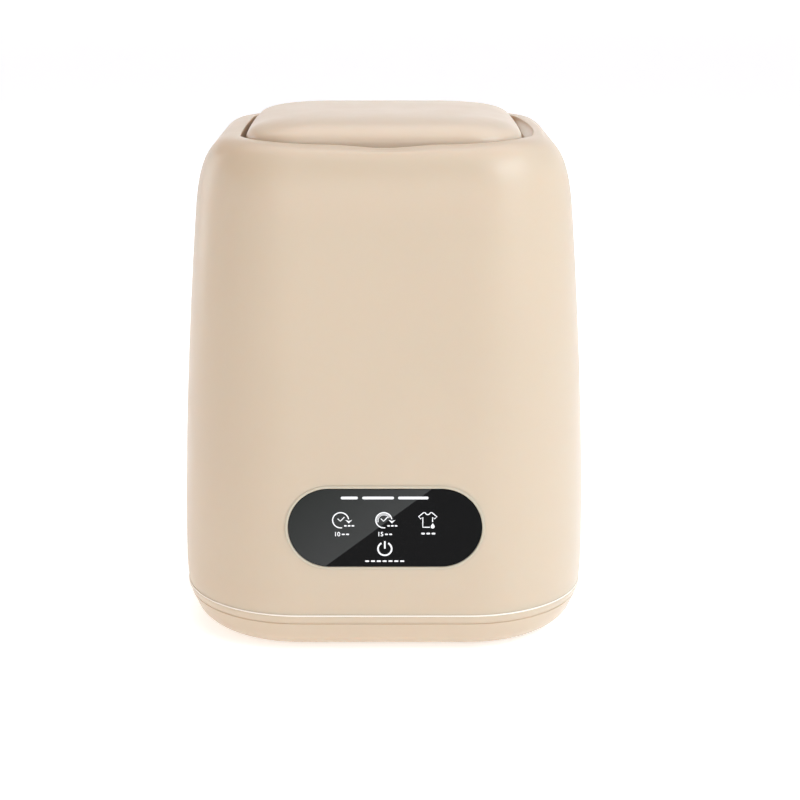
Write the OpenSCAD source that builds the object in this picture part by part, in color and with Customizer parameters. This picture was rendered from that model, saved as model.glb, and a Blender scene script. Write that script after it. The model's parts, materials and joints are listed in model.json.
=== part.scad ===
// Portable mini washer: a top-loading tub in a softly rounded square casing,
// with a rear-hinged lid, a pulsator and spin basket driven by a belt, a drain
// valve and a one-touch front panel.
// The casing's outline is a square core whose sides are pushed outwards by a
// distance that changes with height, so its corners are true revolved surfaces.

/* [Casing] */
// Widest width and depth of the casing
body_w = 260; // [256:1:264]
// Wall thickness of the moulded shells
wall = 2.5; // [2.3:0.1:2.8]
// Height of the seam between casing and base pan
seam_z = 27.5; // [26:0.5:29]
// Height of the rim around the lid
rim_z = 317; // [316:0.5:318]
// How far the casing narrows from its widest part to the rim
taper_w = 16.5; // [15:0.5:17]
// How strongly the taper gathers towards the top
taper_exp = 1.6; // [1.4:0.1:1.9]
// Width of the rounding under the casing
bottom_w = 33; // [30:1:36]
// Height of the rounding under the casing
bottom_h = 50.5; // [46:0.5:54]
// Fullness of the rounding under the casing
bottom_exp = 3.1; // [2.6:0.1:3.4]
// Height at which the shoulder starts to round over
shoulder_z = 266; // [262:1:272]
// Fullness of the shoulder
shoulder_exp = 3; // [2.8:0.1:3.2]

/* [Lid] */
// Half-width of the lid opening
opening_half = 88; // [87.5:0.25:88.5]
// Half-width of the lid
lid_half = 84.5; // [84:0.25:85]
// Height of the top of the lid
lid_top_z = 328.5; // [327:0.5:330]
// Height of the ledge that the lid closes on
ledge_z = 305; // [304.5:0.25:305.5]
// Width of the finger scoop at the front of the rim
scoop_w = 33; // [28:1:38]
// Depth of the finger scoop
scoop_d = 4.5; // [3:0.5:5.5]

/* [Control panel] */
// Width of the touch panel
panel_w = 118.5; // [112:0.5:120]
// Height of the touch panel
panel_h = 50.5; // [48:0.5:52]
// Height of the panel's centre above the floor
panel_z = 86; // [84:0.5:90]

/* [Wash unit] */
// Inner radius of the wash tub
tub_r = 92; // [91:0.5:92.5]
// Radius of the round throat in the ledge
throat_r = 79.5; // [79:0.25:80]
// Outer radius of the spin basket
basket_r = 79; // [76:0.5:79]
// Radius of the pulsator
pulsator_r = 74; // [68:1:78]
// Number of fins on the pulsator
fin_count = 6; // [3:1:8]
// Number of slots around the basket
slot_count = 24; // [12:2:28]

/* [Drive] */
// Radius of the belt on the driven pulley
driven_r = 43; // [40:1:44]
// Radius of the belt on the motor pulley
motor_pulley_r = 10; // [9:0.5:12]
// Distance of the motor from the drum axis, along X and along Y
motor_offset = 55; // [53:1:57]
// Radius of the drive shaft
shaft_r = 4; // [3.5:0.25:4.5]

/* [Hidden] */
$fn = 96;

cream = [0.87, 0.80, 0.71];
inner_white = [0.90, 0.89, 0.86];
steel = [0.72, 0.73, 0.75];
rubber = [0.16, 0.16, 0.17];
black_gloss = [0.03, 0.03, 0.04];
board_green = [0.10, 0.34, 0.20];

core = 53;              // half-side of the square core
sweep_gap = 0.3;        // clearance between nested mouldings
pan_z = 1;              // underside of the base pan
pan_floor = 4;          // inside floor of the base pan
groove_z = 21.5;        // decorative groove around the base
groove_d = 0.6;
lip_z = 33;             // top of the pan's locating lip
lip_t = 1.8;
edge_r = 0.6;           // small break on the opening edge
ledge_t = 3;
recess_core_half = opening_half + wall;

foot_at = 72;
foot_r = 11;
foot_h = 2.5;
boss_x = 88;
boss_y = 38;
boss_r = 5.5;
boss_bottom = 34;
boss_top = 60;

hinge_x = 46;
hinge_y = 85;
hinge_z = rim_z + 1;
hinge_pin_r = 1.5;
hinge_play = 0.05;
lug_half = 8;           // half-width of a lid lug
ear_t = 2;              // thickness of a bracket ear
ear_gap = 1;            // side play between lug and ear
ear_r = 2.3;            // rounding of a bracket ear's top
hinge_screw_x = 5.85;   // hinge screws, along X and back from the pin
hinge_screw_y = 3;
notch_half = 12.5;
notch_y = 78.5;
lid_bottom = ledge_z + 1.5;
lid_side_top = rim_z - 2;
liner_t = 2.5;
rib_r = 58;             // stiffening rib on the liner
liner_screw_x = 60;
liner_screw_y = 38;
seal_in = 80.4;
seal_out = 83.4;

tub_floor = 100;
tub_base = 97;
tub_top = ledge_z - ledge_t - 1.5;
tub_ear_at = 101;
hub_top = 106.5;
hub_r = 14;

disc_z = 108;
disc_t = 4;
post_r = 11.6;
post_top = 150;
cap_top = 153;
basket_z = 127;
basket_top = 284;
ring_top = 296;

shaft_bottom = 29;
shaft_top = 140;
run_gap = 0.05;         // radial play of a running shaft
bearing_r = 11;
bearing_t = 7;
upper_bearing_z = 83.5;
lower_bearing_z = 50.5;
housing_bottom = 50;
housing_flange_z = 91;
housing_bolt_at = 28;
pulley_z = 34;
pulley_t = 12;
belt_z = 37;
belt_h = 6;
belt_t = 3;
plate_z = 52;
plate_t = 2.5;
post_at = 42;
motor_r = 24;
motor_h = 39;
motor_shaft_r = 2.5;
motor_bolt_at = 16;

valve_x = 50;
valve_y = 50;
valve_r = 14;
chamber_r = 11.5;
chamber_z = 66;
seat_z = 90;
rod_r = 3;
armature_r = 4.5;
coil_bottom = 31;
coil_top = 61.5;
outlet_z = 76;
outlet_r = 7.5;
outlet_bore = 5.5;
spout_r = 8;
pocket_r = 17;
pocket_y = 111.5;       // floor of the drain pocket
jack_x = -50;
jack_z = 62;
jack_r = 5.8;
jack_floor = 126.5;

panel_y = 129.4;        // front of the panel at its centre height
panel_tilt = 1.35;      // lean that follows the casing wall
lens_t = 2.2;
frame_back = 5;
panel_rim = 4.25;       // width of the step that the lens sits on
icon_x = [-24.5, 1, 27];
icon_up = 4.5;
power_up = -13;
board_t = 1.6;
board_front = 9;

// ---------------------------------------------------------------- outlines

// Superellipse quarter: 0 at t = 0, rising to 1 at t = 1
function ease(t, e) = 1 - pow(1 - pow(min(max(t, 0), 1), e), 1 / e);

// Shoulder width that brings the wall to the opening edge at the rim
shoulder_w = body_w / 2 - taper_w - opening_half - edge_r;

// Half-width of the casing at height z
function casing_half(z) = body_w / 2
    - taper_w * pow(max(z - bottom_h, 0) / (rim_z - bottom_h), taper_exp)
    - bottom_w * ease((bottom_h - z) / (bottom_h - pan_z), bottom_exp)
    - shoulder_w * ease((z - shoulder_z) / (rim_z - shoulder_z), shoulder_exp);

// Half-width of the inside of a wall at height z
function inside_half(z) = casing_half(min(max(z + (z > bottom_h ? wall : -wall), pan_z), rim_z)) - wall;

// Heights at which the outline gets a point, closer together on the roundings
levels = concat(
    [for (a = [80:-10:10]) bottom_h - (bottom_h - pan_z) * pow(sin(a), 2 / bottom_exp)],
    [for (i = [0:7]) bottom_h + (shoulder_z - bottom_h) * i / 7],
    [for (a = [12:12:84]) shoulder_z + (rim_z - shoulder_z) * pow(sin(a), 2 / shoulder_exp)]);
function levels_in(lo, hi) = concat([lo], [for (z = levels) if (z > lo + 0.4 && z < hi - 0.4) z], [hi]);

function reversed(list) = [for (i = [len(list) - 1:-1:0]) list[i]];
function outer_line(lo, hi) = [for (z = levels_in(lo, hi)) [casing_half(z) - core, z]];
function inner_line(lo, hi, least) =
    [for (z = reversed(levels_in(lo, hi))) [max(inside_half(z), least) - core, z]];

// Height of the lid's top at distance r outside the core, for a shrink s
lid_reach = lid_half - core;
function lid_line(s) = [for (a = [0:9:90])
    [(lid_reach - s) * pow(cos(a), 0.95), lid_side_top + (lid_top_z - s - lid_side_top) * pow(sin(a), 0.95)]];

// ------------------------------------------------------------ shared shapes

// A section given as [distance outside the core, height], swept round the core
module swept(points) {
    for (k = [0:3]) rotate([0, 0, 90 * k]) {
        translate([core, core, 0]) rotate_extrude(angle = 90) polygon(points);
        translate([core, 0, 0]) rotate([90, 0, 0])
            linear_extrude(2 * core, center = true) polygon(points);
    }
}

// Block with the plan of the core pushed out to a half-width
module plan_block(half, z0, z1) {
    translate([0, 0, z0]) linear_extrude(z1 - z0) union() {
        square([2 * core, 2 * half], center = true);
        square([2 * half, 2 * core], center = true);
        for (x = [-core, core], y = [-core, core]) translate([x, y]) circle(half - core);
    }
}

module disc(r, z0, z1) {
    translate([0, 0, z0]) cylinder(r = r, h = z1 - z0);
}

module tube(r_out, r_in, z0, z1) {
    translate([0, 0, z0]) difference() {
        cylinder(r = r_out, h = z1 - z0);
        translate([0, 0, -1]) cylinder(r = r_in, h = z1 - z0 + 2);
    }
}

// Rod along Y, pointing backwards
module rod_y(x, z, r, y0, y1) {
    translate([x, y0, z]) rotate([-90, 0, 0]) cylinder(r = r, h = y1 - y0);
}

module block(x0, x1, y0, y1, z0, z1) {
    translate([x0, y0, z0]) cube([x1 - x0, y1 - y0, z1 - z0]);
}

// Screw or bolt along Z with its head at the bottom
module screw_up(head_r, head_t, shank_r, length) {
    cylinder(r = head_r, h = head_t);
    cylinder(r = shank_r, h = head_t + length);
}

module at_four(x, y) {
    for (sx = [-1, 1], sy = [-1, 1]) translate([sx * x, sy * y, 0]) children();
}

module around(count, r, first = 0) {
    for (i = [0:count - 1]) rotate([0, 0, first + i * 360 / count]) translate([r, 0, 0]) children();
}

module at_motor() {
    translate([-motor_offset, motor_offset, 0]) children();
}

module at_valve() {
    translate([valve_x, valve_y, 0]) children();
}

// Panel frame: X to the right, Y up the panel, Z straight out of it
module on_panel() {
    translate([0, -panel_y, panel_z]) rotate([90 - panel_tilt, 0, 0]) children();
}

// Pill shape in the panel frame
module pill(w, h, z0, z1) {
    translate([0, 0, z0]) linear_extrude(z1 - z0) union() {
        square([w - h, h], center = true);
        for (s = [-1, 1]) translate([s * (w - h) / 2, 0]) circle(h / 2);
    }
}

// Places of the four touch keys in the panel frame
module at_keys() {
    for (x = icon_x) translate([x, icon_up, 0]) children();
    translate([icon_x[1], power_up, 0]) children();
}

// Smooth route through hand-placed points
function catmull(a, b, c, d, t) = 0.5 * ((2 * b) + (c - a) * t + (2 * a - 5 * b + 4 * c - d) * t * t
    + (3 * b - a - 3 * c + d) * t * t * t);
function route(p, steps) = concat([for (i = [0:len(p) - 2], k = [0:steps - 1])
    catmull(p[max(i - 1, 0)], p[i], p[i + 1], p[min(i + 2, len(p) - 1)], k / steps)], [p[len(p) - 1]]);
function unit(v) = v / norm(v);
function heading(p, i) = unit(p[min(i + 1, len(p) - 1)] - p[max(i - 1, 0)]);

// Round cord along a list of points; side is a direction that no stretch follows
module cord(p, r, sides, side) {
    rings = [for (i = [0:len(p) - 1])
        let (d = heading(p, i), u = unit(cross(d, side)), v = cross(d, u))
        for (k = [0:sides - 1]) p[i] + r * (cos(k * 360 / sides) * u + sin(k * 360 / sides) * v)];
    last = (len(p) - 1) * sides;
    faces = concat(
        [[for (k = [0:sides - 1]) k]],
        [[for (k = [sides - 1:-1:0]) last + k]],
        [for (i = [0:len(p) - 2], k = [0:sides - 1])
            [i * sides + k, (i + 1) * sides + k,
             (i + 1) * sides + (k + 1) % sides, i * sides + (k + 1) % sides]]);
    polyhedron(rings, faces);
}

// ------------------------------------------------------------------ casing

// Front plate that stiffens the wall behind the touch panel
module panel_frame() {
    intersection() {
        on_panel() pill(panel_w + 2, panel_h + 2, -frame_back, 2);
        block(-core - 10, core + 10, -body_w / 2, 0, 0, rim_z);
    }
}

module scoop_cutter(extra, z0, z1) {
    r = (pow(scoop_w / 2, 2) + pow(scoop_d, 2)) / (2 * scoop_d);
    translate([0, r - opening_half - scoop_d, 0]) disc(r + extra, z0, z1);
}

// Front rim filled in behind the finger scoop, inside the outer surface
module scoop_backing() {
    intersection() {
        scoop_cutter(wall, ledge_z - ledge_t, rim_z);
        rotate([0, 0, -90]) translate([core, 0, 0]) rotate([90, 0, 0])
            linear_extrude(scoop_w + 4 * wall, center = true)
            polygon(concat([[opening_half - core, ledge_z - ledge_t]],
                outer_line(ledge_z - ledge_t, rim_z), [[opening_half - core, rim_z]]));
    }
}

// Boss that takes a base screw, ribbed to the side wall
module casing_boss(side) {
    disc_at = [side * boss_x, 0];
    translate([disc_at[0], 0, 0]) disc(boss_r, boss_bottom, boss_top);
    x0 = side > 0 ? boss_x : -body_w / 2 + wall / 2;
    block(x0, x0 + body_w / 2 - wall / 2 - boss_x, -1.5, 1.5, boss_bottom, boss_top);
}

module outer_shell() color(cream) difference() {
    union() {
        swept(concat(
            outer_line(seam_z + sweep_gap, rim_z),
            [[opening_half - core, rim_z - edge_r],
             [opening_half - core, ledge_z - ledge_t],
             [recess_core_half - core, ledge_z - ledge_t]],
            inner_line(seam_z + sweep_gap, rim_z - wall, recess_core_half)));
        plan_block(tub_r + 6, ledge_z - ledge_t, ledge_z);
        panel_frame();
        scoop_backing();
        for (side = [-1, 1], y = [-boss_y, boss_y]) translate([0, y, 0]) casing_boss(side);
        rod_y(valve_x, outlet_z, pocket_r + wall, pocket_y - wall, casing_half(outlet_z) - 1);
        rod_y(jack_x, jack_z, jack_r + 6, jack_floor - wall, casing_half(jack_z) - 1);
    }
    disc(throat_r, ledge_z - ledge_t - 1, ledge_z + 1);
    scoop_cutter(0, ledge_z + 3, rim_z + 1);
    on_panel() pill(panel_w, panel_h, -lens_t, 5);
    on_panel() pill(panel_w - 2 * panel_rim, panel_h - 2 * panel_rim, -frame_back - 5, 1);
    rod_y(valve_x, outlet_z, pocket_r, pocket_y, body_w / 2 + 1);
    rod_y(valve_x, outlet_z, outlet_r, pocket_y - 2 * wall, body_w / 2);
    rod_y(jack_x, jack_z, jack_r + 4, jack_floor, body_w / 2 + 1);
    rod_y(jack_x, jack_z, jack_r, jack_floor - 2 * wall, body_w / 2);
    at_four(boss_x, boss_y) disc(2, boss_bottom - 1, boss_top - 8);
    around(4, tub_ear_at, 45) {
        disc(1.75, ledge_z - ledge_t - 1, ledge_z + 1);
        disc(3.5, ledge_z - 2, ledge_z + 1);
    }
    at_hinge_screws() disc(1.25, ledge_z - ledge_t - 1, ledge_z + 1);
}

module base_pan() color(cream) difference() {
    union() {
        swept(concat(
            [[0, pan_z]],
            outer_line(pan_z, groove_z - groove_d),
            [[casing_half(groove_z) - groove_d - core, groove_z]],
            outer_line(groove_z + groove_d, seam_z),
            [[inside_half(seam_z) - sweep_gap - core, seam_z],
             [inside_half(seam_z) - sweep_gap - core, lip_z],
             [inside_half(seam_z) - sweep_gap - lip_t - core, lip_z]],
            inner_line(pan_floor + 1, seam_z - wall, 0),
            [[0, pan_floor]]));
        block(-core, core, -core, core, pan_z, pan_floor);
        at_four(boss_x, boss_y) disc(boss_r + 1, pan_z + 1, boss_bottom - 0.2);
        for (x = [-36, 36], y = [-96, -58]) translate([x, y, 0]) disc(3, pan_floor - 1, 9);
    }
    at_four(boss_x, boss_y) disc(2.2, 0, boss_bottom + 1);
    at_four(boss_x, boss_y) disc(4.5, 0, 7);
    at_four(foot_at, foot_at) disc(foot_r + 0.1, 0, foot_h);
    for (x = [-36, 36], y = [-96, -58]) translate([x, y, 0]) disc(1.25, pan_floor, 10);
}

module rubber_feet() color(rubber) at_four(foot_at, foot_at) {
    translate([0, 0, 1]) cylinder(r = foot_r, h = foot_h - 1);
    cylinder(r1 = foot_r - 1, r2 = foot_r, h = 1);
}

module base_screws() color(steel) at_four(boss_x, boss_y)
    translate([0, 0, 4]) screw_up(4, 3, 2, boss_top - 20);

// --------------------------------------------------------------------- lid

// Room for the hinge brackets at the lid's rear edge
module hinge_notches(extra, y0, z0, z1) {
    for (s = [-1, 1]) block(s * hinge_x - notch_half - extra, s * hinge_x + notch_half + extra,
        y0, lid_half + 10, z0, z1);
}

module lid_lugs() {
    for (s = [-1, 1]) translate([s * hinge_x, 0, 0]) {
        block(-lug_half, lug_half, notch_y - 1, hinge_y, hinge_z - 3, hinge_z + 3);
        translate([-lug_half, hinge_y, hinge_z]) rotate([0, 90, 0]) cylinder(r = 3, h = 2 * lug_half);
    }
}

module lid_cap() color(cream) difference() {
    union() {
        difference() {
            union() {
                swept(concat([[0, lid_bottom], [lid_reach, lid_bottom]], lid_line(0)));
                block(-core, core, -core, core, lid_bottom, lid_top_z);
            }
            difference() {
                union() {
                    swept(concat([[0, lid_bottom - 1], [lid_reach - wall, lid_bottom - 1]], lid_line(wall)));
                    block(-core, core, -core, core, lid_bottom - 1, lid_top_z - wall);
                }
                hinge_notches(wall, notch_y - wall, lid_bottom - 2, lid_top_z);
            }
            hinge_notches(0, notch_y, lid_bottom - 2, lid_top_z + 1);
        }
        lid_lugs();
        at_four(liner_screw_x, liner_screw_y) disc(4, lid_bottom + liner_t, lid_top_z - wall - 0.2);
    }
    for (s = [-1, 1]) translate([s * hinge_x - lug_half - 1, hinge_y, hinge_z])
        rotate([0, 90, 0]) cylinder(r = hinge_pin_r + hinge_play, h = 2 * lug_half + 2);
    at_four(liner_screw_x, liner_screw_y) disc(1.5, lid_bottom, lid_top_z - 8);
}

module lid_liner() color(inner_white) difference() {
    union() {
        plan_block(lid_half - wall - sweep_gap, lid_bottom, lid_bottom + liner_t);
        tube(rib_r, rib_r - 2, lid_bottom + 1, lid_bottom + liner_t + 3);
    }
    hinge_notches(wall + sweep_gap, notch_y - wall - sweep_gap, lid_bottom - 1, lid_bottom + 10);
    at_four(liner_screw_x, liner_screw_y) disc(1.5, lid_bottom - 1, lid_bottom + 10);
    at_four(liner_screw_x, liner_screw_y) disc(3.2, lid_bottom - 1, lid_bottom + 1.5);
}

module lid_seal() color(rubber) rotate_extrude()
    polygon([[seal_in, lid_bottom], [seal_in + 1, ledge_z + 0.2], [seal_out - 1, ledge_z + 0.2],
             [seal_out, lid_bottom]]);

module lid_screws() color(steel) at_four(liner_screw_x, liner_screw_y)
    translate([0, 0, lid_bottom]) screw_up(3, 1.4, 1.5, 10);

module lid_magnet() color(steel) translate([39, -72, 0])
    disc(5, lid_bottom + liner_t, lid_bottom + 6);

module lid_switch() color([0.2, 0.2, 0.22])
    block(30, 48, -recess_core_half - 6, -recess_core_half, ledge_z, ledge_z + 6);

module hinge_brackets() color(steel) difference() {
    ear_x = lug_half + ear_gap;
    for (s = [-1, 1]) translate([s * hinge_x, 0, 0]) {
        block(-ear_x - ear_t, ear_x + ear_t, hinge_y - 9, hinge_y + 2, ledge_z, ledge_z + 1.3);
        for (x = [-ear_x - ear_t, ear_x]) {
            block(x, x + ear_t, hinge_y - 5, hinge_y + 2, ledge_z, hinge_z);
            translate([x, hinge_y, hinge_z]) rotate([0, 90, 0]) cylinder(r = ear_r, h = ear_t);
        }
    }
    translate([-hinge_x - 20, hinge_y, hinge_z]) rotate([0, 90, 0])
        cylinder(r = hinge_pin_r, h = 2 * hinge_x + 40);
    at_hinge_screws() disc(1.25, ledge_z - 1, ledge_z + 2);
}

module hinge_pins() color(steel) for (s = [-1, 1])
    translate([s * hinge_x - lug_half - ear_gap - ear_t - 0.4, hinge_y, hinge_z])
        rotate([0, 90, 0]) cylinder(r = hinge_pin_r, h = 2 * (lug_half + ear_gap + ear_t) + 0.8);

module at_hinge_screws() {
    for (s = [-1, 1], x = [-hinge_screw_x, hinge_screw_x])
        translate([s * hinge_x + x, hinge_y - hinge_screw_y, 0]) children();
}

module hinge_screws() color(steel) at_hinge_screws() {
    disc(1.25, ledge_z - ledge_t, ledge_z + 1.3);
    disc(2.4, ledge_z + 1.3, ledge_z + 2.6);
}

// --------------------------------------------------------------- wash tub

module wash_tub() color(inner_white) difference() {
    union() {
        tube(tub_r + wall, tub_r, tub_base, tub_top);
        tube(tub_r + 6, tub_r + 1, tub_top - 3, tub_top);
        disc(tub_r + 1, tub_base, tub_floor);
        disc(38, tub_base, tub_floor + 3);
        disc(hub_r, tub_base, hub_top);
        around(4, tub_ear_at, 45) disc(6, tub_top - 14, tub_top);
        around(4, tub_ear_at, 45) block(-8, 0, -3, 3, tub_top - 14, tub_top);
        around(4, post_at) disc(5, plate_z + plate_t, tub_base + 1);
    }
    disc(9, tub_floor, hub_top + 1);
    disc(shaft_r + 2, tub_base - 1, tub_floor + 1);
    around(4, tub_ear_at, 45) disc(1.75, tub_top - 12, tub_top + 1);
    around(4, housing_bolt_at, 45) disc(2, tub_base - 1, tub_floor + 1.5);
    around(4, post_at) disc(2, plate_z, plate_z + 18);
    at_valve() disc(8, tub_base - 1, tub_floor + 4);
}

module tub_gasket() color(rubber) tube(tub_r + 5, tub_r, tub_top, ledge_z - ledge_t);

module tub_screws() color(steel) around(4, tub_ear_at, 45) {
    disc(1.75, tub_top - 12, ledge_z - 1);
    disc(3.4, ledge_z - 2, ledge_z);
}

// ------------------------------------------------------- basket and pulsator

module spin_basket() color(inner_white) difference() {
    union() {
        tube(basket_r, basket_r - 2, basket_z, basket_top);
        disc(basket_r - 1, basket_z, basket_z + 2.5);
        disc(15, disc_z + disc_t + 4, cap_top + 3);
    }
    disc(post_r + 0.4, disc_z, cap_top);
    for (row = [0:3]) around(slot_count, basket_r - 1, 7.5)
        block(-4, 4, -2, 2, basket_z + 14 + row * 35, basket_z + 38 + row * 35);
    for (ring = [30, 48, 66]) around(ring / 3, ring) disc(2.5, basket_z - 1, basket_z + 4);
}

module balance_ring() color([0.80, 0.86, 0.88]) difference() {
    tube(basket_r + 1.5, basket_r - 9, basket_top, ring_top);
    tube(basket_r + 3, basket_r + 0.5, basket_top - 1, basket_top + 2);
}

// Curved fin of the pulsator, given by its height along the radius
module fin() {
    translate([0, 3, 0]) rotate([90, 0, 0]) linear_extrude(6)
        polygon([[16, 0], [pulsator_r - 4, 0], [pulsator_r - 6, 4], [pulsator_r - 14, 8],
                 [46, 11], [30, 10], [20, 7], [16, 2]]);
}

module pulsator() color([0.55, 0.66, 0.72]) difference() {
    union() {
        disc(pulsator_r, disc_z, disc_z + disc_t);
        tube(pulsator_r, pulsator_r - 3, disc_z - 4, disc_z + 1);
        disc(post_r, disc_z, post_top);
        around(fin_count, 0) translate([0, 0, disc_z + disc_t]) fin();
    }
    disc(shaft_r, disc_z - 1, shaft_top);
    disc(2.5, shaft_top - 1, post_top + 1);
    disc(6.5, post_top - 5, post_top + 1);
    for (ring = [30, 60]) around(fin_count, ring, 180 / fin_count) disc(2.5, disc_z - 1, disc_z + disc_t + 1);
}

module pulsator_screw() color(steel) {
    disc(2.5, shaft_top - 14, post_top - 2);
    disc(6, post_top - 5, post_top - 1.5);
}

module pulsator_cap() color([0.30, 0.36, 0.42]) disc(post_r - 0.2, post_top, cap_top);

// ------------------------------------------------------------------- drive

module drive_shaft() color(steel) difference() {
    disc(shaft_r, shaft_bottom, shaft_top);
    disc(2.5, shaft_top - 14, shaft_top + 1);
}

module shaft_seal() color(rubber) tube(9, shaft_r + run_gap, tub_floor, hub_top - 0.5);

module upper_bearing() color(steel)
    tube(bearing_r, shaft_r + run_gap, upper_bearing_z, upper_bearing_z + bearing_t);

module lower_bearing() color(steel)
    tube(bearing_r, shaft_r + run_gap, lower_bearing_z, lower_bearing_z + bearing_t);

module bearing_housing() color([0.62, 0.63, 0.65]) difference() {
    union() {
        disc(36, housing_flange_z, tub_base);
        disc(15, housing_bottom, tub_base);
        for (i = [0:3]) rotate([0, 0, i * 90]) block(0, 30, -1.5, 1.5, housing_flange_z - 14, tub_base - 2);
    }
    disc(bearing_r - 3, lower_bearing_z, upper_bearing_z);
    disc(bearing_r, lower_bearing_z - 1, lower_bearing_z + bearing_t);
    disc(bearing_r, upper_bearing_z, upper_bearing_z + bearing_t);
    disc(shaft_r + 2, upper_bearing_z, tub_base + 1);
    around(4, housing_bolt_at, 45) disc(2, housing_flange_z - 1, tub_base + 1);
}

module housing_bolts() color(steel) around(4, housing_bolt_at, 45)
    translate([0, 0, housing_flange_z - 3]) screw_up(3.5, 3, 2, tub_floor + 1 - housing_flange_z);

// Pulley with a groove that keeps clear of the belt
module grooved_pulley(r, bore, z0, z1) {
    rotate_extrude() polygon([[bore, z0], [r + 4, z0], [r + 4, belt_z - 1], [r - 2, belt_z],
        [r - 2, belt_z + belt_h], [r + 4, belt_z + belt_h + 1], [r + 4, z1], [bore, z1]]);
}

module driven_pulley() color([0.25, 0.25, 0.27]) difference() {
    union() {
        grooved_pulley(driven_r, shaft_r, pulley_z, pulley_z + pulley_t);
        disc(9, pulley_z, lower_bearing_z - 0.5);
    }
    disc(shaft_r, pulley_z - 1, lower_bearing_z);
    around(5, 23) disc(8, pulley_z - 1, pulley_z + pulley_t + 1);
}

module pulley_nut() color(steel) difference() {
    translate([0, 0, pulley_z - 4]) cylinder(r = 7, h = 4, $fn = 6);
    disc(shaft_r, pulley_z - 5, pulley_z + 1);
}

// Plan of the belt run round both pulleys at a distance from their belt radii
module belt_plan(out) {
    span = norm([motor_offset, motor_offset]);
    lean = asin((driven_r - motor_pulley_r) / span);
    r_big = driven_r + out;
    r_small = motor_pulley_r + out;
    rotate(135) {
        circle(r_big);
        translate([span, 0]) circle(r_small);
        polygon([r_big * [sin(lean), cos(lean)], [span, 0] + r_small * [sin(lean), cos(lean)],
                 [span, 0] + r_small * [sin(lean), -cos(lean)], r_big * [sin(lean), -cos(lean)]]);
    }
}

module drive_belt() color([0.12, 0.12, 0.12]) translate([0, 0, belt_z + 0.5])
    linear_extrude(belt_h - 1) difference() {
        belt_plan(belt_t - 1.5);
        belt_plan(-1.5);
    }

module motor_pulley() color([0.25, 0.25, 0.27]) at_motor()
    grooved_pulley(motor_pulley_r, motor_shaft_r, pulley_z + 1, pulley_z + pulley_t);

module motor_shaft() color(steel) at_motor() disc(motor_shaft_r, pulley_z, plate_z + motor_h - 6);

module motor_can() color([0.45, 0.46, 0.48]) at_motor() difference() {
    union() {
        disc(motor_r, plate_z + plate_t, plate_z + motor_h);
        disc(motor_r - 6, plate_z + motor_h, plate_z + motor_h + 2.5);
    }
    disc(motor_shaft_r + run_gap, plate_z, plate_z + motor_h - 5);
    around(4, motor_bolt_at, 45) disc(1.5, plate_z, plate_z + 10);
}

module motor_bolts() color(steel) at_motor() around(4, motor_bolt_at, 45)
    translate([0, 0, plate_z - 2.5]) screw_up(2.75, 2.5, 1.5, 9);

module drive_plate() color(steel) difference() {
    translate([0, 0, plate_z]) linear_extrude(plate_t) union() {
        circle(50);
        translate([-motor_offset, motor_offset]) circle(motor_r + 4);
        rotate(135) translate([0, -25]) square([norm([motor_offset, motor_offset]), 50]);
    }
    disc(15 + 0.2, plate_z - 1, plate_z + plate_t + 1);
    around(4, post_at) disc(2, plate_z - 1, plate_z + plate_t + 1);
    at_motor() disc(7, plate_z - 1, plate_z + plate_t + 1);
    at_motor() around(4, motor_bolt_at, 45) disc(1.5, plate_z - 1, plate_z + plate_t + 1);
}

module plate_bolts() color(steel) around(4, post_at)
    translate([0, 0, plate_z - 3]) screw_up(4, 3, 2, 16);

// ------------------------------------------------------------------- drain

module drain_valve() color([0.85, 0.85, 0.83]) difference() {
    union() {
        at_valve() disc(valve_r, coil_top, tub_base);
        at_valve() disc(19, tub_base - 3, tub_base);
        rod_y(valve_x, outlet_z, outlet_r, valve_y, valve_y + valve_r + 20);
    }
    at_valve() {
        disc(8, seat_z - 1, tub_base + 1);
        disc(chamber_r, chamber_z, seat_z);
        disc(rod_r + run_gap, coil_top - 1, chamber_z + 1);
    }
    rod_y(valve_x, outlet_z, outlet_bore, valve_y, valve_y + valve_r + 21);
}

module drain_plunger() color(steel) at_valve() {
    disc(rod_r, coil_bottom + 10, seat_z - 3.4);
    disc(armature_r, coil_bottom + 8, coil_top - 4);
}

module plunger_seal() color(rubber) at_valve() disc(10, seat_z - 3.4, seat_z - 0.1);

module drain_spring() color(steel) at_valve() {
    turns = 5;
    height = seat_z - 3.4 - chamber_z - 1.2;
    points = [for (i = [0:turns * 12]) [6 * cos(i * 30), 6 * sin(i * 30),
        chamber_z + 0.6 + height * i / (turns * 12)]];
    cord(points, 0.6, 6, [0, 0, 1]);
}

module drain_solenoid() color([0.20, 0.22, 0.30]) at_valve() difference() {
    block(-11, 11, -11, 11, coil_bottom, coil_top);
    disc(armature_r + run_gap, coil_bottom + 2, coil_top - 3);
    disc(rod_r + run_gap, coil_bottom + 2, coil_top + 1);
}

module drain_hose() color([0.55, 0.55, 0.57]) difference() {
    rod_y(valve_x, outlet_z, outlet_r + 2, valve_y + valve_r + 4, pocket_y - 6);
    rod_y(valve_x, outlet_z, outlet_r, valve_y, pocket_y);
}

module hose_clamps() color(steel) for (y = [valve_y + valve_r + 7, pocket_y - 14]) difference() {
    rod_y(valve_x, outlet_z, outlet_r + 3, y, y + 5);
    rod_y(valve_x, outlet_z, outlet_r + 2, y - 1, y + 6);
}

module drain_spout() color([0.85, 0.85, 0.83]) difference() {
    union() {
        rod_y(valve_x, outlet_z, outlet_r, pocket_y - wall - 18, pocket_y + 1);
        rod_y(valve_x, outlet_z, 12, pocket_y - wall - 3, pocket_y - wall);
        rod_y(valve_x, outlet_z, spout_r, pocket_y, pocket_y + 16);
    }
    rod_y(valve_x, outlet_z, outlet_bore, 0, body_w);
}

// ------------------------------------------------------------- electronics

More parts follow.
